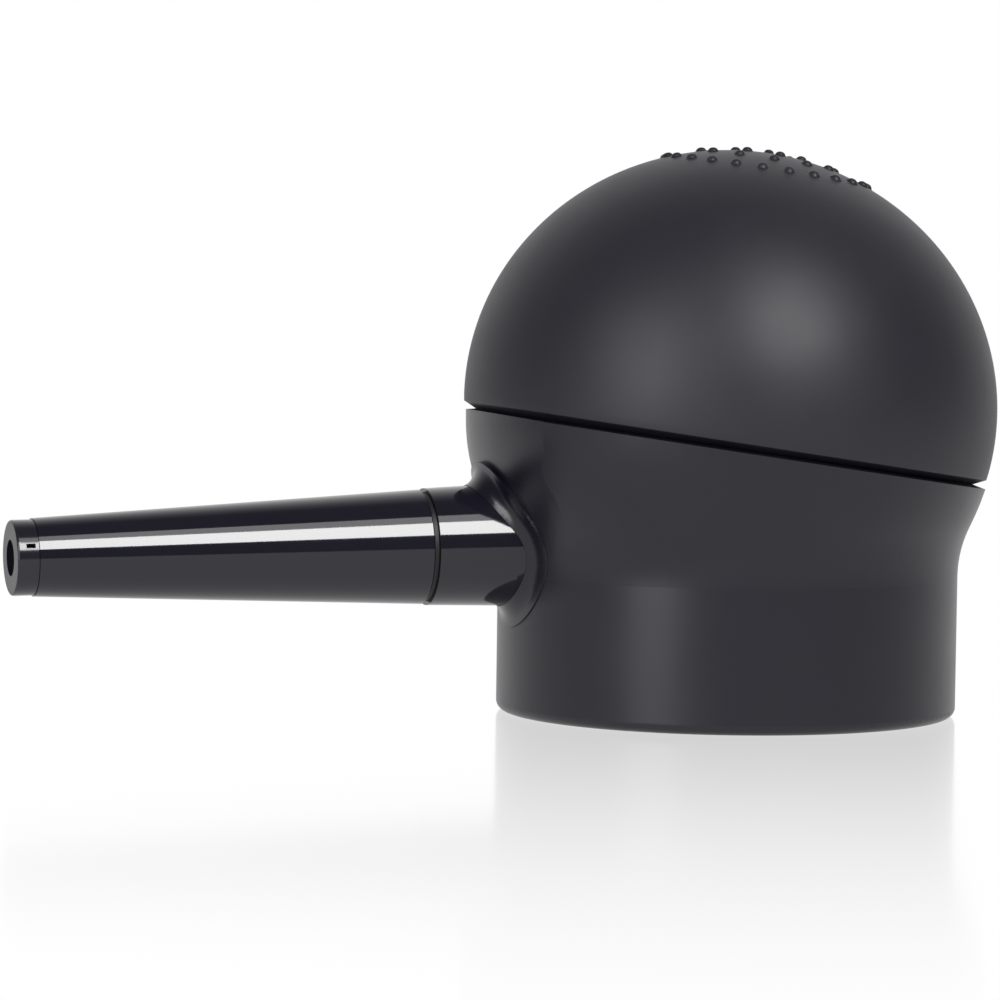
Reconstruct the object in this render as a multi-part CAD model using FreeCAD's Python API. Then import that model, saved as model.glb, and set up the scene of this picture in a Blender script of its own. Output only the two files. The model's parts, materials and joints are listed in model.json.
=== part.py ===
"""Squeeze-bulb powder blower head that pushes onto the neck of a powder bottle.

A rubber bulb sits on a tilted rim of a round body. Pressing the bulb's crown drives air through a valve and
a tube into the bottle below, and the air carries powder back up an elbow and out of a long tapered nozzle.

Frame, in millimetres: the origin is the centre of the bottle socket's mouth, in the plane that the blower
stands on. +Z is up along the bottle's axis. The nozzle points along -X, and the object is the same on both
sides of the plane Y = 0.
"""

import FreeCAD, Part

import math
import os

from FreeCAD import Placement, Rotation, Vector

# ---------------------------------------------------------------- driving dimensions
# Bottle end. The bottle's neck sets the size of everything above it.
socket_r = 24.5           # bore that takes the bottle's neck
socket_depth = 11.0       # how far the neck goes in
sleeve_wall = 1.6         # wall of the sleeve that forms the bore
shell_wall = 1.8          # wall of the body shell
base_edge_r = 1.2         # rounding of the base's bottom edge
gasket_t = 1.4
gasket_r_in = 18.5
plate_t = 1.8             # feed plate that closes the bottle's mouth
seat_wall = 1.3           # upstands on the feed plate that hold the elbow and the air tube
seat_h = 0.9
funnel_flare = 2.6        # the powder's port widens downwards by this much
shoulder_t = 1.2          # shoulder in the body that the feed plate stops against
breather_r = 0.9          # channels that let air up past the bottle's neck
breather_inset = 0.3      # a channel's middle lies this far inside the shell's inner face
breather_angles = (60.0, 180.0, 300.0)

# Body above the base
ball_swell = 4.6          # the body flares out to a ball, this much larger in radius than the base
ball_rise = 16.2          # the ball's centre is this far above the nozzle's axis
neck_blend_r = 14.0       # hollow blend between the base and the ball
tilt_deg = 8.3            # the bulb and its rim lean back from the nozzle by this angle
rim_drop = 5.35           # the rim lies this far below the ball's centre, along the tilted axis
panel_half_width = 15.0   # the fairing round the nozzle is this wide each side of the middle
panel_relief = 0.5        # the fairing is flatter than the ball by this much in the middle
panel_edge_step = 0.04    # fine line along the fairing's edges
panel_low = 3.0           # the fairing starts this far below the nozzle's axis
panel_full = 5.0          # and has its full relief this far above it
panel_top = 3.0           # it ends this far above the ball's centre, over the rim
panel_run_out = 0.12      # at its lower end the relief runs out, this far above the surface

# Bulb
bulb_inset = 0.15         # the bulb's radius is this much smaller than the ball's
bulb_flatness = 1.45      # the bulb's height over its widest circle is this much less than its radius
bulb_wall_t = 2.0         # thickness of the rubber
seam_gap = 1.0            # open groove between the bulb and the rim, at the outside
seam_depth = 1.6          # how far the groove runs in
rim_bevel = 0.35          # the rim's top face rises inward by this much
heel_t = 2.0              # rubber heel that the clamp ring holds
heel_rise = 1.2           # the heel's inner edge is this far above the bulb's lower edge
ramp_rise = 2.8           # and from there a slope meets the bulb's inside at this height
clamp_t = 1.75
clamp_lip = 1.45
clamp_hook_h = 2.2

# Crown, the part of the bulb that the thumb pushes
crown_r = 14.0
crown_split = 0.25        # cut between the crown and the bulb's wall
nub_r = 0.63              # grip nubs
nub_h = 0.5
nub_round = 0.3           # rounding of a nub's top edge
nub_root = 0.6            # how far a nub reaches into the rubber under it
nub_rings = ((0.293, 6), (0.586, 12), (0.882, 24))   # each ring's radius as a share of the crown's, and its nubs

# Deck and valves
deck_drop = 2.65          # the deck's top face lies this far below the rim
deck_t = 1.6
deck_room = 0.25          # between the edge of the deck or its seal and the body
deck_seal_t = 0.8
ledge_t = 1.4             # ledge that carries the deck
ledge_width = 1.9
valve_disc_r = 4.2
valve_disc_t = 0.7
valve_lift = 0.9          # how far a valve disc can travel
valve_wall = 0.8          # wall of the valve cages
valve_rib_h = 0.4         # ribs that keep a disc off the cage
valve_rib_len = 1.9
valve_rib_w = 0.6
valve_port_r = 2.6
intake_window_r = 0.9     # openings in the intake cage
delivery_at = 11.0        # valve positions on the deck, from its centre, away from the nozzle
intake_at = -12.0
tube_bore_r = 1.7
tube_wall = 0.8
tube_plug = 2.0           # how far the air tube goes into the delivery cage

# Elbow and nozzle
elbow_bore_r = 3.2
elbow_wall = 1.2
elbow_bend_r = 5.9
seal_ring_r = 0.5         # section radius of the elbow's seal ring
seal_groove = 1.3         # width of the ring's groove
seal_ring_set_back = 1.5  # the seal ring's groove starts this far into the root
root_tail_wall = 0.9      # wall left outside the seal ring's groove
root_tail_clear = 0.7     # room between the root's tail and the feed plate
nozzle_droop_deg = 1.0    # the nozzle falls towards its tip by this angle
root_reach = 10.6         # the nozzle root ends this far outside the base's side
root_end_r = 7.0          # nozzle root's radius there
root_wide_r = 7.35        # its radius where it leaves the body
root_step_in = 0.4        # the root's tail widens this far into the body's wall
root_plug_depth = 5.3     # how far the elbow goes into the nozzle root
root_web = 3.4            # solid wall between the root's two sockets
collar_r = 10.0           # collar on the body round the root
collar_proud = 0.15       # the collar stands this much out of the body
collar_blend_r = 2.35     # hollow flare between the collar and the nozzle root
flare_under = 0.25        # the flare would meet the root this far under the root's surface, so its lip is thin
nozzle_seam = 0.6         # dark seam between the root and the barrel, filled by a washer
washer_inset = 0.45       # the washer lies this far below the outside
barrel_len = 47.2
barrel_r = 6.85           # barrel's radius at the seam
barrel_end_r = 4.6        # its radius at the tip
barrel_edge = 0.15        # chamfer on the barrel's edge at the seam
spigot_len = 9.7          # barrel's spigot inside the root
spigot_r = 4.85
spigot_chamfer = 0.4
barrel_bore_r = 3.8       # the barrel's bore at its spigot; it narrows evenly to the outlet
tip_len = 2.6             # part of the tip that shows
tip_r = 4.45
tip_edge_r = 0.25
tip_plug_len = 6.0        # part of the tip inside the barrel
tip_plug_r = 3.3
outlet_r = 2.14           # hole that the powder leaves by
key_slot_angle = 22.0     # two small slots in the tip's sides lie this far above the middle
key_slot_len = 1.1
key_slot_w = 0.55
key_slot_depth = 0.9
key_slot_back = 0.4       # solid material behind a slot

# Clearances
fit = 0.05                # between parts that are pressed or bonded together
slip = 0.08               # between parts that turn or slide in each other
spigot_end_gap = 0.5      # between the spigot's end and the bottom of its socket
disc_gap = 0.35           # room round the edge of a valve disc
disc_rest_gap = 0.03      # a disc's flat faces stay this far from what stops them

# ---------------------------------------------------------------- worked out from the above
base_r = socket_r + sleeve_wall + 2 * fit + shell_wall
body_ball_r = base_r + ball_swell
bulb_r = body_ball_r - bulb_inset
bulb_h = bulb_r - bulb_flatness
elbow_r = elbow_bore_r + elbow_wall
tube_r = tube_bore_r + tube_wall
root_tail_r = elbow_r + 2 * seal_ring_r + root_tail_wall
plate_z = socket_depth + gasket_t
plate_top = plate_z + plate_t
nozzle_z = plate_top + root_tail_r + root_tail_clear      # height of the nozzle's axis over the base's centre
ball_z = nozzle_z + ball_rise                             # height of the ball's centre

deck_top = -rim_drop - deck_drop
deck_bottom = deck_top - deck_t
ledge_top = deck_bottom - deck_seal_t
deck_r = math.sqrt((body_ball_r - shell_wall) ** 2 - deck_bottom**2) - deck_room
bulb_edge = -rim_drop + seam_gap

root_end = base_r + root_reach
barrel_start = root_end + nozzle_seam
barrel_end = barrel_start + barrel_len
tip_end = barrel_end + tip_len
spigot_end = barrel_start - spigot_len
root_front_socket = spigot_end - spigot_end_gap
root_rear_socket = root_front_socket - root_web
root_start = root_rear_socket - root_plug_depth
reach = 300.0             # longer than the whole object, for cutting
over = 1.0                # how far a cutting tool runs past the face it starts from
tiny = 0.02               # slack for finding an edge by its place

BULB_FRAME = Placement(Vector(0, 0, ball_z), Rotation(Vector(0, 1, 0), tilt_deg))
NOZZLE_FRAME = Placement(Vector(0, 0, nozzle_z), Rotation(Vector(0, 1, 0), -90.0 - nozzle_droop_deg))
LEVEL = Placement()


# ---------------------------------------------------------------- helpers
def placed(shape, frame):
    """A copy of shape, moved from its own frame into the object's."""
    moved = shape.copy()
    moved.Placement = frame.multiply(moved.Placement)
    return moved


def at(x, y, z, frame=LEVEL):
    """The frame shifted by x, y, z along its own axes."""
    return frame.multiply(Placement(Vector(x, y, z), Rotation()))


def turned(outline, frame=LEVEL):
    """A solid turned about the frame's Z from (radius, height) points."""
    points = [Vector(r, 0, z) for r, z in outline]
    wire = Part.makePolygon(points + points[:1])
    return placed(turned_wire(wire), frame)


def turned_wire(wire):
    """A solid turned about Z from a closed wire in the plane Y = 0."""
    return Part.Face(wire).revolve(Vector(0, 0, 0), Vector(0, 0, 1), 360)


def rod(radius, low, high, frame=LEVEL):
    """A round rod on the frame's Z, from low to high."""
    return placed(Part.makeCylinder(radius, high - low, Vector(0, 0, low)), frame)


def ring(outer, inner, low, high, frame=LEVEL):
    """A flat-ended ring on the frame's Z."""
    return rod(outer, low, high, frame).cut(rod(inner, low - over, high + over, frame))


def on_circle(radius, angles, make):
    """What make(x, y, angle) gives at each angle of a circle."""
    made = []
    for angle in angles:
        a = math.radians(angle)
        made.append(make(radius * math.cos(a), radius * math.sin(a), angle))
    return made


def even_angles(count, first=0.0):
    return [first + 360.0 * k / count for k in range(count)]


def ball_and_base(inset):
    """The body's outer form as a solid, or the same form shrunk by inset: a base, a hollow blend and a ball."""
    ball = body_ball_r - inset
    base = base_r - inset
    blend = neck_blend_r + inset
    blend_x = base + blend
    blend_z = ball_z - math.sqrt((ball + blend) ** 2 - blend_x**2)
    share = ball / (ball + blend)
    meet = Vector(blend_x * share, 0, ball_z + (blend_z - ball_z) * share)
    halfway = math.atan2(meet.z - blend_z, meet.x - blend_x) / 2 + math.pi / 2
    blend_mid = Vector(blend_x + blend * math.cos(halfway), 0, blend_z + blend * math.sin(halfway))
    widest = Vector(ball, 0, ball_z)
    edges = [
        Part.LineSegment(Vector(0, 0, 0), Vector(base, 0, 0)),
        Part.LineSegment(Vector(base, 0, 0), Vector(base, 0, blend_z)),
        Part.Arc(Vector(base, 0, blend_z), blend_mid, meet),
        Part.Arc(meet, widest, Vector(0, 0, ball_z + ball)),
        Part.LineSegment(Vector(0, 0, ball_z + ball), Vector(0, 0, 0)),
    ]
    return turned_wire(Part.Wire([e.toShape() for e in edges]))


def body_radius(z):
    """Outside radius of the body at a height."""
    blend_x = base_r + neck_blend_r
    blend_z = ball_z - math.sqrt((body_ball_r + neck_blend_r) ** 2 - blend_x**2)
    meet_z = ball_z + (blend_z - ball_z) * body_ball_r / (body_ball_r + neck_blend_r)
    if z <= blend_z:
        return base_r
    if z <= meet_z:
        return blend_x - math.sqrt(neck_blend_r**2 - (z - blend_z) ** 2)
    return math.sqrt(body_ball_r**2 - (z - ball_z) ** 2)


def above_rim():
    """Everything above the body's tilted rim, whose top face rises inward from the edge."""
    rim_r = math.sqrt(body_ball_r**2 - rim_drop**2)
    inner = (rim_r - seam_depth, -rim_drop + rim_bevel)
    outer = (rim_r + seam_depth, -rim_drop - rim_bevel)
    far = (reach / 2, outer[1])
    outline = [(0, inner[1]), inner, outer, far, (reach / 2, reach / 2), (0, reach / 2)]
    return turned(outline, BULB_FRAME)


def breather_channels():
    """Upright channels for air, from under the base to above the shoulder."""
    top = plate_top + shoulder_t + over
    rods = on_circle(base_r - shell_wall - breather_inset, breather_angles,
                     lambda x, y, _: rod(breather_r, -over, top, at(x, y, 0)))
    return Part.makeCompound(rods)


# ---------------------------------------------------------------- body
def fairing_relief():
    """The thin slice cut from the ball round the nozzle, which leaves a flatter fairing with two fine edges."""
    low = nozzle_z - panel_low
    full = nozzle_z + panel_full
    top = ball_z + panel_top
    heights = (low, (low + full) / 2, full, (full + top) / 2, top)
    wires = []
    for z in heights:
        share = min(1.0, (z - low) / (full - low))
        radius = body_radius(z)
        clear = panel_run_out * (1 - share)
        middle = radius + clear - panel_relief * share
        edge = math.sqrt(radius**2 - panel_half_width**2) + clear - panel_edge_step * share
        left = Vector(-edge, -panel_half_width, z)
        right = Vector(-edge, panel_half_width, z)
        back_left = Vector(0, -panel_half_width, z)
        back_right = Vector(0, panel_half_width, z)
        wires.append(Part.Wire([
            Part.Arc(left, Vector(-middle, 0, z), right).toShape(),
            Part.makeLine(right, back_right),
            Part.makeLine(back_right, back_left),
            Part.makeLine(back_left, left),
        ]))
    kept = Part.makeLoft(wires, True, False)
    slab = Part.makeBox(reach / 2, 2 * panel_half_width, top - low,
                        Vector(-reach / 2, -panel_half_width, low))
    return slab.cut(kept).cut(rod(collar_r, 0, reach, NOZZLE_FRAME))


def flared_form():
    """The body's outer form with the collar, and the hollow flare from the collar to the nozzle root."""
    stem_r = root_wide_r - flare_under
    stem = rod(stem_r, 0, root_end, NOZZLE_FRAME)
    collar = ball_and_base(-collar_proud).common(rod(collar_r, base_r / 2, root_end, NOZZLE_FRAME))
    joined = ball_and_base(0).fuse(collar).fuse(stem).removeSplitter()
    meeting = []
    for edge in joined.Edges:
        middle = edge.valueAt((edge.FirstParameter + edge.LastParameter) / 2)
        local = NOZZLE_FRAME.inverse().multVec(middle)
        if middle.z > ball_z or abs(math.hypot(local.x, local.y) - stem_r) > tiny:
            continue
        off_body = math.hypot(middle.x, middle.y) - body_radius(middle.z)
        if -tiny < off_body < 2 * collar_proud:
            meeting.append(edge)
    return joined.makeFillet(collar_blend_r, meeting)


def root_outline(extra=0.0):
    """Outside of the nozzle root as (radius, distance) points, from the body's wall to the seam."""
    wide_start = base_r - shell_wall + root_step_in
    taper_start = root_rear_socket + root_web
    return [(root_wide_r + extra, wide_start), (root_wide_r + extra, taper_start), (root_end_r + extra, root_end)]


def body_shell():
    """Outer shell: round base, flare, tilted rim, and the collar round the nozzle root."""
    outer = flared_form()
    bottom_edge = [e for e in outer.Edges if e.BoundBox.ZMax < tiny and e.BoundBox.XMax > base_r - tiny]
    outer = outer.makeFillet(base_edge_r, bottom_edge)
    outer = outer.cut(fairing_relief())
    hollow = ball_and_base(shell_wall)
    room = root_outline(fit)
    hole = turned([(0, 0), (room[0][0], 0)] + room[1:] + [(root_end_r + fit, reach), (0, reach)], NOZZLE_FRAME)
    ledge = ring(body_ball_r, deck_r - ledge_width, ledge_top - ledge_t, ledge_top, BULB_FRAME)
    shoulder = ring(base_r - fit, base_r - shell_wall - sleeve_wall, plate_top, plate_top + shoulder_t)
    shell = outer.cut(hollow)
    shell = shell.fuse(ledge.common(ball_and_base(shell_wall / 2))).fuse(shoulder)
    shell = shell.cut(above_rim()).cut(hole).cut(breather_channels())
    past_flare = rod(root_wide_r + fit, root_end - collar_blend_r, reach, NOZZLE_FRAME)
    return shell.cut(past_flare).removeSplitter()


def nozzle_root():
    """Glossy tube held in the collar, with a socket at each end."""
    outside = root_outline()
    outline = [(elbow_bore_r, root_rear_socket), (elbow_r + fit, root_rear_socket), (elbow_r + fit, root_start),
               (root_tail_r, root_start), (root_tail_r, outside[0][1])]
    outline += outside
    outline += [(spigot_r + slip, root_end), (spigot_r + slip, root_front_socket),
                (elbow_bore_r, root_front_socket)]
    groove_low = root_start + seal_ring_set_back
    groove = ring(elbow_r + 2 * seal_ring_r, elbow_bore_r, groove_low, groove_low + seal_groove, NOZZLE_FRAME)
    return turned(outline, NOZZLE_FRAME).cut(groove)


# ---------------------------------------------------------------- bottle end
def neck_sleeve():
    """Plain sleeve, bonded into the base, that grips the bottle's neck."""
    sleeve = ring(socket_r + sleeve_wall, socket_r, 0, socket_depth)
    return sleeve.cut(breather_channels())


def bottle_gasket():
    """Flat soft ring that the bottle's mouth seals against."""
    gasket = ring(socket_r + sleeve_wall, gasket_r_in, socket_depth, socket_depth + gasket_t)
    return gasket.cut(breather_channels())


def seat_floor():
    """Height at which the elbow and the air tube stand in the feed plate."""
    return plate_z + plate_t / 2


def feed_plate():
    """Plate over the bottle's mouth, with the powder's way up and the air's way down."""
    plate = rod(socket_r + sleeve_wall, plate_z, plate_top)
    elbow_seat = rod(elbow_r + seat_wall, plate_top, plate_top + seat_h)
    tube_boss = rod(tube_r + seat_wall, -reach / 2, reach / 2, at(delivery_at, 0, 0, BULB_FRAME))
    tube_boss = tube_boss.common(rod(base_r / 2, plate_top, plate_top + seat_h))
    plate = plate.fuse([elbow_seat, tube_boss])
    slope = funnel_flare / (seat_floor() - plate_z)
    funnel = turned([(0, plate_z - over), (elbow_bore_r + funnel_flare + slope * over, plate_z - over),
                     (elbow_bore_r, seat_floor()), (0, seat_floor())])
    seat = rod(elbow_r + fit, seat_floor() - fit, reach)
    tube_seat = rod(tube_r + fit, tube_low(), 0, at(delivery_at, 0, 0, BULB_FRAME))
    air_way = rod(tube_bore_r, -reach / 2, 0, at(delivery_at, 0, 0, BULB_FRAME))
    plate = plate.cut([funnel, seat, rod(elbow_bore_r, 0, reach), tube_seat, air_way])
    return plate.cut(breather_channels()).removeSplitter()


def bend_path():
    """Line of the elbow: up from the feed plate, round, and out along the nozzle's axis."""
    turn = math.radians(90.0 + nozzle_droop_deg)
    tangent = elbow_bend_r * math.tan(turn / 2)
    corner = Vector(0, 0, nozzle_z)
    along = NOZZLE_FRAME.Rotation.multVec(Vector(0, 0, 1))
    foot = Vector(0, 0, seat_floor())
    rise = corner - Vector(0, 0, tangent)
    level = corner + along * tangent
    centre = rise + Vector(-elbow_bend_r, 0, 0)
    middle = centre + (corner - centre).normalize() * elbow_bend_r
    end = corner + along * (root_rear_socket - fit)
    return Part.Wire([Part.makeLine(foot, rise), Part.Arc(rise, middle, level).toShape(),
                      Part.makeLine(level, end)])


def conveying_elbow():
    """Bent tube that carries the powder from the feed plate to the nozzle root."""
    start = Vector(0, 0, seat_floor())
    up = Vector(0, 0, 1)
    outer = bend_path().makePipeShell([Part.Wire(Part.makeCircle(elbow_r, start, up))], True, False)
    inner = bend_path().makePipeShell([Part.Wire(Part.makeCircle(elbow_bore_r, start, up))], True, False)
    return outer.cut(inner)


def elbow_seal_ring():
    """Ring that keeps powder in where the elbow enters the nozzle root."""
    middle = root_start + seal_ring_set_back + seal_groove / 2
    body = Part.makeTorus(elbow_r + seal_ring_r, seal_ring_r, Vector(0, 0, middle))
    return placed(body, NOZZLE_FRAME)


# ---------------------------------------------------------------- deck and valves
def valve_deck():
    """Tilted plate that closes the bulb from below, with a port for each valve."""
    deck = rod(deck_r, deck_bottom, deck_top, BULB_FRAME)
    ports = [rod(valve_port_r, deck_bottom - over, deck_top + over, at(x, 0, 0, BULB_FRAME))
             for x in (delivery_at, intake_at)]
    return deck.cut(ports)


def deck_seal():
    """Flat ring between the deck and the ledge in the body."""
    return ring(deck_r - deck_room, deck_r - ledge_width + fit, ledge_top, deck_bottom, BULB_FRAME)


def cage_room():
    """Height inside a valve cage."""
    return valve_rib_h + valve_disc_t + valve_lift + 2 * disc_rest_gap


def delivery_frame():
    return at(delivery_at, 0, deck_bottom, BULB_FRAME)


def intake_frame():
    return at(intake_at, 0, deck_top, BULB_FRAME)


def cage_ribs(frame, low, high):
    """Three small ribs that a disc can rest on without closing the way."""
    ribs = []
    for angle in even_angles(3, 90.0):
        rib = Part.makeBox(valve_rib_len, valve_rib_w, high - low,
                           Vector(valve_port_r - valve_rib_w / 2, -valve_rib_w / 2, low))
        rib.rotate(Vector(0, 0, 0), Vector(0, 0, 1), angle)
        ribs.append(placed(rib, frame))
    return ribs


def tube_low():
    """Lower end of the air tube, along the tilted axis."""
    lean = math.radians(tilt_deg)
    return (seat_floor() - ball_z + delivery_at * math.sin(lean)) / math.cos(lean)


def delivery_valve_cage():
    """Cup under the deck that holds the delivery disc and leads into the air tube."""
    frame = delivery_frame()
    inside = valve_disc_r + disc_gap
    floor = -cage_room()
    cup = rod(inside + valve_wall, floor - valve_wall, 0, frame)
    flange = rod(inside + 2 * valve_wall, -valve_wall, 0, frame)
    neck = rod(tube_r + valve_wall, floor - valve_wall - tube_plug, floor, frame)
    cage = cup.fuse([flange, neck])
    cage = cage.cut([rod(inside, floor, over, frame), rod(tube_bore_r, -reach / 2, 0, frame),
                     rod(tube_r + fit, -reach / 2, floor - valve_wall, frame)])
    ribs = cage_ribs(frame, floor - valve_wall / 2, floor + valve_rib_h)
    return cage.fuse(ribs).removeSplitter()


def delivery_valve_disc():
    """Loose disc that falls open when the bulb is pressed and is sucked shut when it fills."""
    low = -cage_room() + valve_rib_h + disc_rest_gap
    return rod(valve_disc_r, low, low + valve_disc_t, delivery_frame())


def intake_valve_cage():
    """Cap over the intake port that lets air past the disc into the bulb."""
    frame = intake_frame()
    inside = valve_disc_r + disc_gap
    top = cage_room()
    cap = rod(inside + valve_wall, 0, top + valve_wall, frame)
    flange = rod(inside + 2 * valve_wall, 0, valve_wall, frame)
    cage = cap.fuse(flange).cut(rod(inside, -over, top, frame))
    ribs = cage_ribs(frame, top - valve_rib_h, top + valve_wall / 2)
    cage = cage.fuse(ribs)
    windows = on_circle(valve_port_r, even_angles(3, 30.0),
                        lambda x, y, _: rod(intake_window_r, 0, top + 2 * valve_wall, at(x, y, 0, frame)))
    return cage.cut(windows).removeSplitter()


def intake_valve_disc():
    """Loose disc that lies on the intake port and lifts while the bulb fills."""
    return rod(valve_disc_r, disc_rest_gap, disc_rest_gap + valve_disc_t, intake_frame())


def air_tube():
    """Straight tube from the delivery valve to the feed plate."""
    top = deck_bottom - cage_room() - valve_wall
    return ring(tube_r, tube_bore_r, tube_low(), top, at(delivery_at, 0, 0, BULB_FRAME))


# ---------------------------------------------------------------- bulb
def oval_height(radius, height, at_r):
    """Height of a flattened ball's surface at a distance from its axis."""
    return height * math.sqrt(1 - (at_r / radius) ** 2)


def oval_arc(radius, height, near_r, far_r, far_z=None):
    """Edge along a flattened ball's surface between two distances from its axis."""
    start = Vector(far_r, 0, oval_height(radius, height, far_r) if far_z is None else far_z)
    end = Vector(near_r, 0, oval_height(radius, height, near_r))
    curve = Part.Ellipse(Vector(radius, 0, 0), Vector(0, 0, height), Vector(0, 0, 0))
    return Part.ArcOfEllipse(curve, curve.parameter(start), curve.parameter(end)).toShape(), start, end


def heel_radii():
    """Inner and outer radius of the bulb's heel, which stands inside the body's rim."""
    outer = deck_r - fit
    return outer - heel_t, outer


def heel_top():
    """Height of the heel's inner edge, where the clamp ring hooks over it."""
    return bulb_edge + heel_rise


def seam_radii():
    """Outer edge of the bulb, and where the open groove under it ends."""
    edge = bulb_r * math.sqrt(1 - (bulb_edge / bulb_h) ** 2)
    rim_r = math.sqrt(body_ball_r**2 - rim_drop**2)
    return edge, rim_r - seam_depth


def inner_oval():
    """Radius and height of the bulb's inner surface."""
    return bulb_r - bulb_wall_t, bulb_h - bulb_wall_t


def ramp_end():
    """Where the slope inside the bulb's foot meets its inner surface."""
    inner_r, inner_h = inner_oval()
    height = bulb_edge + ramp_rise
    return inner_r * math.sqrt(1 - (height / inner_h) ** 2), height


def polyline(points):
    """Straight edges through (radius, height) points."""
    spots = [Vector(r, 0, z) for r, z in points]
    return Part.makePolygon(spots).Edges


def bulb_wall():
    """The rest of the bulb: the wall that folds, its edge and its heel."""
    edge_r, groove_r = seam_radii()
    heel_in, heel_out = heel_radii()
    groove_floor = -rim_drop + rim_bevel + fit
    inner_r, inner_h = inner_oval()
    ramp_r, ramp_z = ramp_end()
    outside, _, outer_top = oval_arc(bulb_r, bulb_h, crown_r, edge_r, bulb_edge)
    inside, _, inner_top = oval_arc(inner_r, inner_h, crown_r, ramp_r, ramp_z)
    foot = polyline([(ramp_r, ramp_z), (heel_in, heel_top()), (heel_in, deck_top), (heel_out, deck_top),
                     (heel_out, groove_floor), (groove_r, groove_floor), (edge_r, bulb_edge)])
    edges = [outside, inside, Part.makeLine(outer_top, inner_top)] + foot
    return placed(turned_wire(Part.Wire(Part.__sortEdges__(edges))), BULB_FRAME)


def nub_places():
    """(distance from the crown's axis, angle round it) of each nub, except the one in the middle."""
    places = []
    for share, count in nub_rings:
        for angle in even_angles(count, 180.0 / count):
            places.append((share * crown_r, angle))
    return places


def grip_nubs():
    """The nubs round the middle one, each standing square to the crown."""
    nubs = []
    for radius, angle in nub_places():
        height = oval_height(bulb_r, bulb_h, radius)
        lean = math.degrees(math.atan2(radius / bulb_r**2, height / bulb_h**2))
        nub = Part.makeCylinder(nub_r, nub_h + nub_root, Vector(0, 0, -nub_root))
        nub = nub.makeFillet(nub_round, [e for e in nub.Edges if e.BoundBox.ZMin > nub_h - tiny])
        turn = Rotation(Vector(0, 0, 1), angle).multiply(Rotation(Vector(0, 1, 0), lean))
        a = math.radians(angle)
        nubs.append(placed(nub, Placement(Vector(radius * math.cos(a), radius * math.sin(a), height), turn)))
    return nubs


def bulb_crown():
    """Top of the bulb, where the thumb pushes, with its grip nubs."""
    inner_r, inner_h = inner_oval()
    outside, rim, nub_foot = oval_arc(bulb_r, bulb_h, nub_r, crown_r - crown_split)
    inside, inner_rim, middle = oval_arc(inner_r, inner_h, 0, crown_r - crown_split)
    nub_top = bulb_h + nub_h
    middle_nub = polyline([(nub_foot.x, nub_foot.z), (nub_r, nub_top - nub_round),
                           (nub_r - nub_round, nub_top), (0, nub_top), (middle.x, middle.z)])
    edges = [outside, inside, Part.makeLine(rim, inner_rim)] + middle_nub
    crown = turned_wire(Part.Wire(Part.__sortEdges__(edges)))
    crown.rotate(Vector(0, 0, 0), Vector(0, 0, 1), 90.0 / nub_rings[-1][1])    # its joint line runs between the nubs
    return placed(crown.fuse(grip_nubs()).removeSplitter(), BULB_FRAME)


def bulb_clamp_ring():
    """Stiff ring that pins the bulb's heel to the body."""
    heel_in, _ = heel_radii()
    outer = heel_in - fit
    ramp_r, ramp_z = ramp_end()
    slope = (ramp_z - heel_top()) / (ramp_r - heel_in)
    lip_low = heel_top() + fit
    outline = [(outer - clamp_t, deck_top), (outer, deck_top), (outer, lip_low),
               (outer + clamp_lip, lip_low + clamp_lip * slope + fit), (outer + clamp_lip, lip_low + clamp_hook_h),
               (outer - clamp_t, lip_low + clamp_hook_h)]
    return turned(outline, BULB_FRAME)


# ---------------------------------------------------------------- nozzle
def nozzle_barrel():
    """Long glossy tapered tube with a plain spigot that pushes into the root."""
    bore_front = tip_plug_r + fit
    tip_seat = barrel_end - tip_plug_len - fit
    outline = [(barrel_bore_r, spigot_end), (spigot_r - spigot_chamfer, spigot_end),
               (spigot_r, spigot_end + spigot_chamfer), (spigot_r, barrel_start),
               (barrel_r - barrel_edge, barrel_start), (barrel_r, barrel_start + barrel_edge),
               (barrel_end_r, barrel_end), (bore_front, barrel_end), (bore_front, tip_seat), (outlet_r, tip_seat)]
    return turned(outline, NOZZLE_FRAME)


def nozzle_seal_washer():
    """Soft washer that fills the seam between the root and the barrel."""
    return ring(root_end_r - washer_inset, spigot_r + slip, root_end + fit, barrel_start - fit, NOZZLE_FRAME)


def nozzle_tip():
    """Short front piece with the outlet hole and two small key slots in its sides."""
    outline = [(outlet_r, barrel_end - tip_plug_len), (tip_plug_r, barrel_end - tip_plug_len),
               (tip_plug_r, barrel_end + fit), (tip_r, barrel_end + fit), (tip_r, tip_end), (outlet_r, tip_end)]
    tip = turned(outline)
    front_edge = [e for e in tip.Edges if e.BoundBox.ZMin > tip_end - tiny and e.BoundBox.XMax > tip_r - tiny]
    tip = tip.makeFillet(tip_edge_r, front_edge)
    for side in (-1, 1):
        slot = Part.makeBox(key_slot_depth + over, key_slot_w, key_slot_len,
                            Vector(tip_r - key_slot_depth, -key_slot_w / 2, barrel_end + fit + key_slot_back))
        slot.rotate(Vector(0, 0, 0), Vector(0, 0, 1), side * (90.0 - key_slot_angle))
        tip = tip.cut(slot)
    return placed(tip, NOZZLE_FRAME)


# ---------------------------------------------------------------- write the parts
PARTS = (
    body_shell, nozzle_root, neck_sleeve, bottle_gasket, feed_plate, conveying_elbow, elbow_seal_ring,
    valve_deck, deck_seal, delivery_valve_cage, delivery_valve_disc, intake_valve_cage, intake_valve_disc,
    air_tube, bulb_wall, bulb_crown, bulb_clamp_ring, nozzle_barrel, nozzle_seal_washer, nozzle_tip,
)


def main():
    os.makedirs("parts", exist_ok=True)
    for make in PARTS:
        shape = make()
        print(f"{make.__name__}: {len(shape.Solids)} solid, {shape.Volume:.1f} mm3, valid {shape.isValid()}")
        shape.exportStep(f"parts/{make.__name__}.step")


main()
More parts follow.
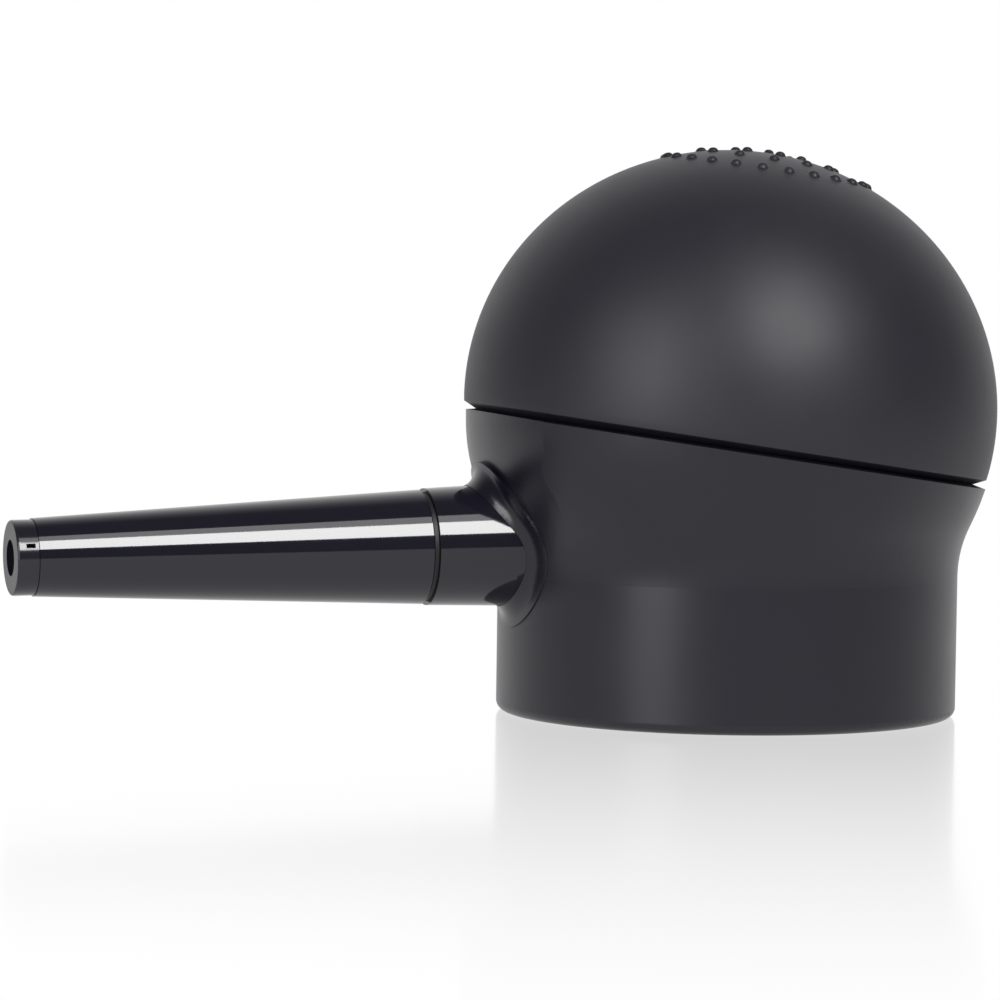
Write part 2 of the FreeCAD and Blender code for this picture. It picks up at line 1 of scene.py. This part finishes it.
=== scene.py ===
# %% [markdown]
# # A squeeze-bulb powder blower head
# The shape, the size and the joints of this blower come from its CAD model. Blender adds what the CAD
# leaves plain: one continuous rubber bulb with grip nubs, a finish for every piece, soft studio light
# and a camera. This first cell loads the CAD model as a frame. Everything is in metres, +Z is up and
# the nozzle points along -X.

# %% Load the frame
import json
import math
import bpy
import numpy as np
from mathutils import Matrix, Vector


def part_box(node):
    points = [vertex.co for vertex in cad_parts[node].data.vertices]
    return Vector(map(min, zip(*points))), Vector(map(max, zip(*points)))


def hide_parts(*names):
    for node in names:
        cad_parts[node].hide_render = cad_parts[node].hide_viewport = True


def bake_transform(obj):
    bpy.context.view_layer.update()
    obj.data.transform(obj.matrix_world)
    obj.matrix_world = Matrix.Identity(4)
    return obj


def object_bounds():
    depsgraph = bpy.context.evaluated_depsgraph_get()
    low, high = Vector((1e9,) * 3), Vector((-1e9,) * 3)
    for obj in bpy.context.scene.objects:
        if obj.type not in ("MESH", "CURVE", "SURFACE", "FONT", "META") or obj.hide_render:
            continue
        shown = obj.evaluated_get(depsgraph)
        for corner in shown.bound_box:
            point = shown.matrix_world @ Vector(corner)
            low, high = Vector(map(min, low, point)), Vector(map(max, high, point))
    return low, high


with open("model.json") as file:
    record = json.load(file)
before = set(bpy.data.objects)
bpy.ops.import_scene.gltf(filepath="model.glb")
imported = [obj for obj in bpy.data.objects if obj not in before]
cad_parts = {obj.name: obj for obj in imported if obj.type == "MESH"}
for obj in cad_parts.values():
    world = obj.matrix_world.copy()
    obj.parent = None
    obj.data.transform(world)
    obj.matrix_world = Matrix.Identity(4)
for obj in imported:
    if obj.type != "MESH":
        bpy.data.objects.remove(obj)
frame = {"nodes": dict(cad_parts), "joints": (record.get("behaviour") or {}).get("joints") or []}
cad_low, cad_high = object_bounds()
nodes = frame["nodes"]
joints = {joint["name"]: joint for joint in frame["joints"]}
scene = bpy.context.scene
MM = 0.001
cad_size = [round((high - low) / MM, 1) for low, high in zip(cad_low, cad_high)]
print("frame:", len(nodes), "pieces, size in mm", cad_size)

# %% [markdown]
# The bulb is round about a tilted axis, and its squeeze joint slides along that axis. So the joint
# gives the axis's direction, and the CAD bulb's own points give its place and its widest circle.
# Measuring them, and not writing numbers down, keeps the rubber on the body when the CAD changes.

# %% Find the bulb's axis, centre and radius
UP_AXIS = -Vector(joints["bulb_squeeze"]["axis"]).normalized()
SIDE_AXIS = Vector((0, 1, 0))
FRONT_AXIS = SIDE_AXIS.cross(UP_AXIS).normalized()
NEAR_WIDEST = 0.02 * MM                    # points this close to the widest circle are counted as on it


def points_of(node):
    """The CAD node's points as a table with three columns."""
    return np.array([v.co for v in nodes[node].data.vertices], float).reshape(-1, 3)


wall_points = points_of("bulb_wall")
along = wall_points @ np.array(UP_AXIS)
across = wall_points @ np.array(FRONT_AXIS)
middle = (across.max() + across.min()) / 2
from_axis = np.hypot(across - middle, wall_points[:, 1])
BULB_R = from_axis.max()
widest = along[from_axis > BULB_R - NEAR_WIDEST].mean()
BULB_CENTRE = UP_AXIS * widest + FRONT_AXIS * middle
print("bulb radius", round(BULB_R / MM, 2), "centre", [round(c / MM, 2) for c in BULB_CENTRE])

# %% [markdown]
# The real bulb is one moulding of soft rubber. The CAD splits it so that the crown can be pressed, and
# that cut would show. A turned shape is easiest to make ring by ring: write down the outline as
# distances from the axis and heights over the widest circle, then copy it round the axis. A spin or a
# screw modifier would do the same, but with rings of our own we can also raise the small grip nubs out
# of the surface, which a modifier can't.

# %% The bulb's outline in millimetres
WALL = 2.0                                 # thickness of the rubber
HAIR = 0.01                                # the bulb is this much smaller than the CAD, to stay inside it
FLATTER = 1.45                             # the dome is this much lower than a ball
R = BULB_R / MM - HAIR                     # the widest circle's radius
BULB_H = R - FLATTER                       # the dome's height over that circle
EDGE_H = -4.35                             # height of the bulb's lower outer edge
FLOOR_H = -5.03                            # under that edge an open groove runs in and down to this height
EDGE_ROUND = 0.14                          # rounding of the outer edge
GROOVE_IN = 1.55                           # how far the groove's slanted side runs in from the edge
HEEL_WALL = 2.0                            # thickness of the heel that the clamp ring holds
HEEL_SLICE = 0.2                           # the heel's radius is measured on this much of its foot

heel_h = (along.min() - widest) / MM       # the heel stands on the deck
heel_out = from_axis[along < widest + (heel_h + HEEL_SLICE) * MM].max() / MM
heel_in = heel_out - HEEL_WALL
edge_r = R * math.sqrt(1 - (EDGE_H / BULB_H) ** 2)
groove_r = edge_r - GROOVE_IN
print("heel", round(heel_in, 2), "to", round(heel_out, 2), "foot at", round(heel_h, 2))

# %% [markdown]
# The grip nubs sit in rings round the middle of the crown. Each is a low bump with a rounded top, and a
# thin foot that runs out into the dome. One function gives the height of the rubber over the plain dome
# at any place: it looks for the nearest nub and measures how far away its middle is, in nub radii.

# %% Grip nubs
NUB_RINGS = ((4.1, 6), (8.2, 12), (12.35, 24))     # ring radius in mm, and number of nubs
NUB_R = 0.66
NUB_H = 0.48
CAP_END = 0.96                                     # the rounded cap ends here, in nub radii
FOOT_END = 1.15                                    # and the foot ends here
FOOT_STEEPNESS = 0.9
FOOT_TOP = 0.033                                   # the foot meets the cap at this share of its height
CAP_FLATNESS, CAP_FALL = 2.6, 0.75                 # powers: a larger first one gives a broader top


def nub_height(r, angle):
    """How far the rubber rises over the plain dome, in mm."""
    away = r / NUB_R
    for ring_r, count in NUB_RINGS:
        step = 2 * math.pi / count
        off = (angle - step / 2) % step
        off = min(off, step - off)
        away = min(away, math.hypot(r - ring_r, r * off) / NUB_R)
    if away >= FOOT_END:
        return 0.0
    if away > CAP_END:
        return NUB_H * FOOT_STEEPNESS * (FOOT_END - away) ** 2
    return NUB_H * max(FOOT_TOP, (1 - away**CAP_FLATNESS) ** CAP_FALL)


print("nubs:", 1 + sum(count for _, count in NUB_RINGS))

# %% [markdown]
# The mesh is a grid of rings and spokes, and the bumps need a fine one. Rings that are close together
# only where nubs are give crisp bumps without a heavy mesh.

# %% Where the crown's rings go
NUB_ZONE = 0.85                            # rings are fine this far to each side of a ring of nubs
FINE, COARSE, PLAIN = 0.11, 0.42, 0.4      # distances between rings: over nubs, between them, outside them
CROWN_END = 15.0                           # from here on the outline is divided by angle


def steps(start, stop, size):
    """Evenly spaced values from start to stop, about size apart, without the last one."""
    count = max(1, round(abs(stop - start) / size))
    return [start + (stop - start) * i / count for i in range(count)]


def crown_distances():
    """Distances of the crown's rings from the axis."""
    found, at = [], 0.0
    for low, high in [(0.0, NUB_ZONE)] + [(r - NUB_ZONE, r + NUB_ZONE) for r, _ in NUB_RINGS]:
        found += steps(at, low, COARSE) if low > at else []
        found += steps(low, high, FINE)
        at = high
    return found + steps(at, CROWN_END, PLAIN)


crown_rings = crown_distances()
print("crown rings:", len(crown_rings))

# %% [markdown]
# Now the outline goes all the way round: over the dome, round the lower edge, into the groove, down the
# heel that the clamp ring holds, and back up inside. A small rounding at the outer edge catches the
# light as moulded rubber does. The dome is part of an ellipse, so a sine and a cosine give its points.

# %% The outline all the way round
DOME_STEP, INSIDE_STEP = 0.028, 0.05       # in radians
NEAR_AXIS = 0.03                           # the inside stops at this angle from the axis, also in radians
EDGE_POINTS = 5
EDGE_FROM, EDGE_TURN = -10, -80            # the edge's rounding in degrees: its start and its turn
HEEL_TOP = 1.2                             # the heel's inner side ends this far over the outer edge
LIP_TOP = 2.8                              # and the dome's inner side starts this far over it


def dome_arc(radius, height, start, stop, step):
    """Points of a dome's curve between two angles from the axis."""
    return [(radius * math.sin(a), height * math.cos(a)) for a in steps(start, stop, step)]


outline = [(r, BULB_H * math.sqrt(1 - (r / R) ** 2)) for r in crown_rings[1:]]
turn_from = math.asin(CROWN_END / R)
turn_to = math.pi / 2 + math.asin(-(EDGE_H + EDGE_ROUND) / BULB_H)
outline += dome_arc(R, BULB_H, turn_from, turn_to, DOME_STEP)
for k in range(EDGE_POINTS):
    a = math.radians(EDGE_FROM + EDGE_TURN * k / (EDGE_POINTS - 1))
    outline.append((edge_r + EDGE_ROUND * (math.cos(a) - 1), EDGE_H + EDGE_ROUND * (math.sin(a) + 1)))
outline += [(groove_r, FLOOR_H), (heel_out, FLOOR_H), (heel_out, heel_h), (heel_in, heel_h),
            (heel_in, EDGE_H + HEEL_TOP)]
inner_r, inner_h = R - WALL, BULB_H - WALL
inner_from = math.pi / 2 + math.asin(-(EDGE_H + LIP_TOP) / inner_h)
outline += dome_arc(inner_r, inner_h, inner_from, NEAR_AXIS, INSIDE_STEP)
print("outline:", len(outline), "points")

# %% [markdown]
# Each point of the outline becomes a ring. On the crown a ring isn't flat: where it crosses a nub, its
# points are pushed out along the direction in which the dome's surface faces.

# %% Turn the outline round the axis
ROUND = 720                                # points in each ring
angles = np.arange(ROUND) * 2 * math.pi / ROUND
front, side, up = (np.array(v) for v in (FRONT_AXIS, SIDE_AXIS, UP_AXIS))
spokes = np.cos(angles)[:, None] * front + np.sin(angles)[:, None] * side
centre = np.array(BULB_CENTRE)

points = [centre + up * (BULB_H + NUB_H) * MM]
for i, (r, h) in enumerate(outline):
    on_crown = i < len(crown_rings) - 1
    lift = np.array([nub_height(r, a) for a in angles]) if on_crown else np.zeros(ROUND)
    faces_to = np.array([r / R**2, h / BULB_H**2])
    faces_to = faces_to / np.linalg.norm(faces_to)
    ring = spokes * (r + lift * faces_to[0])[:, None] + up * (h + lift * faces_to[1])[:, None]
    points += list(centre + ring * MM)
points.append(centre + up * inner_h * MM)
print("bulb:", len(points), "points")

# %% [markdown]
# Four-sided faces join each ring to the next, and a fan of triangles closes the shape at the top
# outside and at the top inside.

# %% Join the rings into a mesh
faces = []
last = len(points) - 1
for j in range(ROUND):
    k = (j + 1) % ROUND
    faces.append((0, 1 + j, 1 + k))
    faces.append((last, last - ROUND + k, last - ROUND + j))
    for i in range(len(outline) - 1):
        a, b = 1 + i * ROUND, 1 + (i + 1) * ROUND
        faces.append((a + j, b + j, b + k, a + k))
bulb_mesh = bpy.data.meshes.new("rubber_bulb")
bulb_mesh.from_pydata([tuple(p) for p in points], [], faces)
bulb_mesh.polygons.foreach_set("use_smooth", [True] * len(bulb_mesh.polygons))
bulb_mesh.update()
bulb_mesh.validate()
bulb = bpy.data.objects.new("rubber_bulb", bulb_mesh)
scene.collection.objects.link(bulb)
print("bulb:", len(faces), "faces")

# %% [markdown]
# The foot has real corners, so the edges there are marked sharp. Smooth shading across them would draw
# dark smears into the groove. All edges of a corner lie in one ring, so both their points have that
# ring's number.

# %% Sharpen the foot's corners
SAME = 0.01
corners = [i for i, (r, h) in enumerate(outline) if h <= FLOOR_H + SAME or abs(r - heel_in) < SAME]
ends = np.zeros(len(bulb_mesh.edges) * 2, np.int64)
bulb_mesh.edges.foreach_get("vertices", ends)
ring_of = (ends.reshape(-1, 2) - 1) // ROUND
on_corner = (ring_of[:, 0] == ring_of[:, 1]) & np.isin(ring_of[:, 0], corners)
marks = bulb_mesh.attributes.new("sharp_edge", "BOOLEAN", "EDGE")
marks.data.foreach_set("value", on_corner)
print("sharp edges:", int(on_corner.sum()))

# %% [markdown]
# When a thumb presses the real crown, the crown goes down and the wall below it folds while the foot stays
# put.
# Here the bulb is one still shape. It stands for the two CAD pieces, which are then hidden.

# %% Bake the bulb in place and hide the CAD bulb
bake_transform(bulb)
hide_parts("bulb_wall", "bulb_crown")

# %% [markdown]
# # Finishes
# A finish is a small graph of nodes, and the same three moves come back in every graph: add a node, set
# its inputs, link it. Two short helpers take them over, so that each recipe below reads as what it
# does.

# %% Helpers for nodes


def add(tree, kind, inputs, **settings):
    """A new node. An input takes a value, or a link where the value is another node's output."""
    made = tree.nodes.new("ShaderNode" + kind)
    for name, value in settings.items():
        setattr(made, name, value)
    for name, value in inputs.items():
        if isinstance(value, bpy.types.NodeSocket):
            tree.links.new(value, made.inputs[name])
        else:
            made.inputs[name].default_value = value
    return made


def remap(tree, value, source, target, shape="LINEAR"):
    """Turns one range of a value into another, in a straight line or as a smooth step."""
    limits = {"From Min": source[0], "From Max": source[1], "To Min": target[0], "To Max": target[1]}
    return add(tree, "MapRange", {"Value": value, **limits}, interpolation_type=shape).outputs["Result"]


print("helpers: add, remap")

# %% [markdown]
# Every plastic and rubber here is nearly black, so what we see is mostly how it throws light back. The
# recipe is always the same: a Principled shader, a slow noise that shifts the roughness and the colour
# a little, as handling and moulding do, and a fine noise as bump for the skin's grain. Only the numbers
# differ, so one helper builds them all. What is the same all over a piece, such as a clear coat, is set
# on the shader itself.

# %% A helper for moulded finishes
PATCH = 6.0                                # size of the slow noise, in mm
COLOUR_SHIFT = 0.12                        # the colour changes by this share, darker and lighter


def moulded(name, colour, roughness, grain=0.0, grain_size=0.25, rough_shift=0.04,
            coat=0.0, coat_roughness=0.1):
    """A moulded plastic or rubber. Sizes are in mm; grain is the bump's depth in mm."""
    material = bpy.data.materials.new(name)
    material.use_nodes = True
    tree = material.node_tree
    skin = tree.nodes["Principled BSDF"]
    skin.inputs["Coat Weight"].default_value = coat
    skin.inputs["Coat Roughness"].default_value = coat_roughness
    place = add(tree, "TexCoord", {}).outputs["Object"]
    slow = add(tree, "TexNoise", {"Vector": place, "Scale": 1 / (PATCH * MM), "Detail": 3.0}).outputs["Fac"]
    rough = remap(tree, slow, (0, 1), (roughness - rough_shift, roughness + rough_shift))
    tree.links.new(rough, skin.inputs["Roughness"])
    darker, lighter = ((*[c * share for c in colour], 1) for share in (1 - COLOUR_SHIFT, 1 + COLOUR_SHIFT))
    shade = add(tree, "Mix", {"Factor": slow, "A": darker, "B": lighter}, data_type="RGBA")
    tree.links.new(shade.outputs["Result"], skin.inputs["Base Color"])
    if grain:
        fine = add(tree, "TexNoise", {"Vector": place, "Scale": 1 / (grain_size * MM), "Detail": 2.0})
        bump = add(tree, "Bump", {"Height": fine.outputs["Fac"], "Strength": 1.0, "Distance": grain * MM})
        tree.links.new(bump.outputs["Normal"], skin.inputs["Normal"])
    print("finish:", name)
    return material


def wear(material, *names):
    """Gives CAD nodes one finish."""
    for name in names:
        mesh = nodes[name].data
        mesh.materials.clear()
        mesh.materials.append(material)


# %% [markdown]
# The bulb is soft silicone rubber with a dry, almost powdery skin, so its highlights are broad and
# faint.

# %% Bulb rubber
rubber = moulded("bulb_rubber_skin", (0.0100, 0.0096, 0.0158), 0.50, grain=0.006, grain_size=0.35)
bulb_mesh.materials.append(rubber)

# %% [markdown]
# Two pieces below have a finish that isn't the same all over: it gets shinier in one place. Both take
# the common recipe and add a changing amount to its roughness, so that is one more helper.

# %% A helper for a finish that changes


def shift_roughness(material, shift):
    """Adds a changing amount to a finish's roughness."""
    tree = material.node_tree
    socket = tree.nodes["Principled BSDF"].inputs["Roughness"]
    total = add(tree, "Math", {0: socket.links[0].from_socket, 1: shift}, operation="ADD")
    tree.links.new(total.outputs[0], socket)


print("helper: shift_roughness")

# %% [markdown]
# The shell is hard plastic with a soft-touch lacquer. It is smoother than rubber, so the edge of a
# softbox still shows in it as a soft upright band. The collar round the nozzle comes out shinier,
# because there the lacquer is thin. The distance from the nozzle's axis picks it out: multiplying by
# (0, 1, 1) flattens the object along X, so that only the distance across the nozzle is left.

# %% Soft-touch shell
COLLAR_R = (9.4 * MM, 10.3 * MM)           # the shine fades out between these distances from the axis
COLLAR_SHINE = -0.09

shell_skin = moulded("soft_touch_lacquer", (0.0056, 0.0052, 0.0112), 0.33, grain=0.0015, grain_size=0.3)
root_low, root_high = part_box("nozzle_root")
nozzle_axis = (root_low + root_high) / 2
tree = shell_skin.node_tree
spot = tree.nodes["Texture Coordinate"].outputs["Object"]
flat = add(tree, "VectorMath", {0: spot, 1: (0, 1, 1)}, operation="MULTIPLY").outputs[0]
off_axis = add(tree, "VectorMath", {0: flat, 1: (0, nozzle_axis.y, nozzle_axis.z)}, operation="DISTANCE")
shine = remap(tree, off_axis.outputs["Value"], COLLAR_R, (COLLAR_SHINE, 0), "SMOOTHSTEP")
shift_roughness(shell_skin, shine)
wear(shell_skin, "body_shell")

# %% [markdown]
# The nozzle root and the barrel come out of a polished mould. Their roughness is low and hardly varies,
# and the bump is only the faint waviness that polished plastic keeps.

# %% Polished nozzle
polished = moulded("polished_black", (0.0080, 0.0076, 0.0136), 0.07, grain=0.0012, grain_size=4.0,
                   rough_shift=0.015, coat=0.15, coat_roughness=0.05)
wear(polished, "nozzle_root", "nozzle_barrel")

# %% [markdown]
# The tip is polished on its side, and its front face is left satin by the mould. One finish can hold
# both: the surface's own direction says which is which, because only the front face looks along the
# nozzle, to -X.

# %% Satin-faced tip
FRONT_FACE = (-0.95, -0.75)                # X of the surface's direction, from the front face to the side
SIDE_SHINE = -0.22

satin = moulded("satin_tip", (0.0116, 0.0112, 0.0172), 0.34, grain=0.0008, grain_size=0.3)
tree = satin.node_tree
looks = add(tree, "SeparateXYZ", {"Vector": tree.nodes["Texture Coordinate"].outputs["Normal"]})
shift_roughness(satin, remap(tree, looks.outputs["X"], FRONT_FACE, (0, SIDE_SHINE)))
wear(satin, "nozzle_tip")

# %% [markdown]
# The clamp ring at the bottom of the groove is glossy black. The seals are dull black rubber. The inner
# parts, seen only from below, are plain satin plastic, and the two valve discs are pale silicone.

# %% Rings, seals and inner parts
ring_gloss = moulded("ring_gloss", (0.004, 0.004, 0.004), 0.15, rough_shift=0.02)
wear(ring_gloss, "bulb_clamp_ring")
seal_rubber = moulded("seal_rubber", (0.006, 0.006, 0.006), 0.5, grain=0.003, grain_size=0.3)
wear(seal_rubber, "bottle_gasket", "elbow_seal_ring", "deck_seal", "nozzle_seal_washer")
inner_plastic = moulded("inner_plastic", (0.03, 0.03, 0.032), 0.4, grain=0.002, grain_size=0.4)
wear(inner_plastic, "neck_sleeve", "feed_plate", "conveying_elbow", "valve_deck", "delivery_valve_cage",
     "intake_valve_cage", "air_tube")
pale_silicone = moulded("pale_silicone", (0.5, 0.49, 0.46), 0.5, grain=0.003, grain_size=0.3)
wear(pale_silicone, "delivery_valve_disc", "intake_valve_disc")

# %% [markdown]
# # Studio
# The floor is one wide square, so that its far edge is never seen. It lies a hair under the object,
# because two surfaces at the same height would flicker.

# %% Floor
HALF_FLOOR = 6.0
UNDER_FOOT = 0.02 * MM

corners_xy = ((-1, -1), (1, -1), (1, 1), (-1, 1))
floor_mesh = bpy.data.meshes.new("floor")
floor_mesh.from_pydata([(x * HALF_FLOOR, y * HALF_FLOOR, 0) for x, y in corners_xy], [], [(0, 1, 2, 3)])
floor = bpy.data.objects.new("floor", floor_mesh)
floor.location.z = cad_low.z - UNDER_FOOT
scene.collection.objects.link(floor)
print("floor at", round(floor.location.z / MM, 2), "mm")

# %% [markdown]
# The floor is pure white and still mirrors the object a little, near its foot. That is two shaders in a
# mix: an emission that is white whatever the light does, and a glossy one whose share falls to nothing
# with the distance from the middle. The Light Path node then splits the floor in two. The camera sees
# that mix, while the object is lit from below by a slightly dimmer white, without a second image of the
# softboxes.

# %% The floor's finish
MIRROR_REACH = (-0.10, 0.29)               # metres from the middle: full share, and none
MIRROR_SHARE = (0.47, 0.0)
MIRROR_ROUGHNESS = 0.12
FLOOR_LIGHT = 0.8

floor_skin = bpy.data.materials.new("pale_floor")
floor_skin.use_nodes = True
tree = floor_skin.node_tree
tree.nodes.clear()
spot = add(tree, "TexCoord", {}).outputs["Object"]
reach = add(tree, "VectorMath", {0: spot}, operation="LENGTH").outputs["Value"]
share = remap(tree, reach, MIRROR_REACH, MIRROR_SHARE, "SMOOTHERSTEP")
glow = add(tree, "Emission", {})
mirror = add(tree, "BsdfGlossy", {"Color": (1, 1, 1, 1), "Roughness": MIRROR_ROUGHNESS})
seen = add(tree, "MixShader", {0: share, 1: glow.outputs[0], 2: mirror.outputs[0]})
bounce = add(tree, "Emission", {"Strength": FLOOR_LIGHT})
camera_ray = add(tree, "LightPath", {}).outputs["Is Camera Ray"]
pick = add(tree, "MixShader", {0: camera_ray, 1: bounce.outputs[0], 2: seen.outputs[0]})
add(tree, "OutputMaterial", {"Surface": pick.outputs[0]})
floor_mesh.materials.append(floor_skin)
print("floor finish:", len(tree.nodes), "nodes")

# %% [markdown]
# The world is white for the camera. For lighting it is white behind the object and dim in front, like a
# room with a white backdrop: the rims of the object then catch light and its face stays dark. The dot
# product of a ray's direction with the direction of the backdrop says how far behind the object the ray
# goes.

# %% World
BACKDROP_WAY = (0.300, 0.954, 0)
BACKDROP_EDGE = (0.2, 0.95)                # the room fades to the backdrop between these dot products
ROOM_LIGHT, BACKDROP_LIGHT = 0.09, 1.0
WHITE = (1, 1, 1, 1)

scene.view_settings.view_transform = "Standard"
scene.world = bpy.data.worlds.new("studio")
scene.world.use_nodes = True
tree = scene.world.node_tree
tree.nodes.clear()
ray = add(tree, "TexCoord", {}).outputs["Generated"]
behind = add(tree, "VectorMath", {0: ray, 1: BACKDROP_WAY}, operation="DOT_PRODUCT").outputs["Value"]
strength = remap(tree, behind, BACKDROP_EDGE, (ROOM_LIGHT, BACKDROP_LIGHT), "SMOOTHSTEP")
room = add(tree, "Background", {"Color": WHITE, "Strength": strength})
backdrop = add(tree, "Background", {"Color": WHITE})
camera_ray = add(tree, "LightPath", {}).outputs["Is Camera Ray"]
choose = add(tree, "MixShader", {0: camera_ray, 1: room.outputs[0], 2: backdrop.outputs[0]})
add(tree, "OutputWorld", {"Surface": choose.outputs[0]})
print("world: room", ROOM_LIGHT, "backdrop", BACKDROP_LIGHT)

# %% [markdown]
# A softbox is an area light. Its strength is set as brightness per area, so that a box can change size
# and look as bright as before, and it is hidden from the camera. A light's own -Z is where it shines,
# so the helper builds its turn from three directions: across, up and back.

# %% A helper for softboxes


def softbox(name, place, facing, width, height, brightness, upright=(0, 0, 1)):
    """A rectangular light at a place, turned to face a direction."""
    lamp = bpy.data.lights.new(name, "AREA")
    lamp.shape = "RECTANGLE"
    lamp.size, lamp.size_y = width, height
    lamp.energy = brightness * math.pi * width * height
    box = bpy.data.objects.new(name, lamp)
    back = -Vector(facing).normalized()
    across_box = Vector(upright).cross(back).normalized()
    rise = back.cross(across_box)
    turn = Matrix((across_box, rise, back)).transposed()
    box.matrix_world = Matrix.Translation(Vector(place)) @ turn.to_4x4()
    box.visible_camera = False
    scene.collection.objects.link(box)
    print("softbox", name, "brightness", brightness)


def toward(start, direction, distance):
    """The point at a distance from a start, in a direction."""
    return Vector(start) + Vector(direction).normalized() * distance


# %% [markdown]
# The key light stands in front, to the right and high, and draws the white stripe along the barrel. A
# stripe on a polished tube shows where the light's edges are, so the key is placed by its edges as seen
# from the barrel. Over it stands a much dimmer one, which gives the stripe's soft upper side.

# %% Key light
BARREL_MID = (-0.065, 0.0, 0.020)
KEY_WIDTH = 0.34
low_edge = toward(BARREL_MID, (0.205, -0.875, 0.44), distance=1.2)
mid_edge = toward(BARREL_MID, (0.205, -0.59, 0.745), distance=1.15)
top_edge = toward(BARREL_MID, (0.205, -0.40, 0.90), distance=1.2)


def panel_between(name, bottom, top, width, brightness):
    """A softbox whose lower and upper edges run through two points, level from side to side."""
    rise = top - bottom
    facing = Vector((1, 0, 0)).cross(rise)
    if facing.dot(Vector(BARREL_MID) - bottom) < 0:
        facing = -facing
    softbox(name, (bottom + top) / 2, facing, width, rise.length, brightness, upright=rise)


panel_between("key", low_edge, mid_edge, KEY_WIDTH, brightness=17.5)
panel_between("key_top", mid_edge, top_edge, KEY_WIDTH, brightness=3.0)

# %% [markdown]
# The fill is a tall panel at the nozzle's side. It gives the upright band on the base and a soft glow
# on the bulb.

# %% Fill light
BODY_MID = (0, 0, 0.03)
fill_place = toward(BODY_MID, (-0.82, -0.56, 0.29), distance=1.2)
softbox("fill", fill_place, Vector(BODY_MID) - fill_place, width=0.5, height=1.05, brightness=5.8)

# %% [markdown]
# A long lens from a little above the table keeps the object's sides straight and its proportions true.
# A camera looks along its own -Z, so its turn is built from right, up and back. The right-hand
# direction is first made square to the view.

# %% Camera
CAMERA_PLACE = (-0.209417, -0.571911, 0.064212)
forward = Vector((0.29995, 0.95184, -0.06349)).normalized()
right = Vector((0.95394, -0.29970, 0.01373))
right = (right - forward * right.dot(forward)).normalized()
down = forward.cross(right)

cam_data = bpy.data.cameras.new("camera")
cam_data.lens, cam_data.sensor_width = 180.0, 36.0
cam_data.clip_start, cam_data.clip_end = 0.01, 50
cam = bpy.data.objects.new("camera", cam_data)
turn = Matrix((right, -down, -forward)).transposed()
cam.matrix_world = Matrix.Translation(Vector(CAMERA_PLACE)) @ turn.to_4x4()
scene.collection.objects.link(cam)
scene.camera = cam
print("camera", round(cam_data.lens), "mm lens,", round(Vector(CAMERA_PLACE).length, 2), "m away")
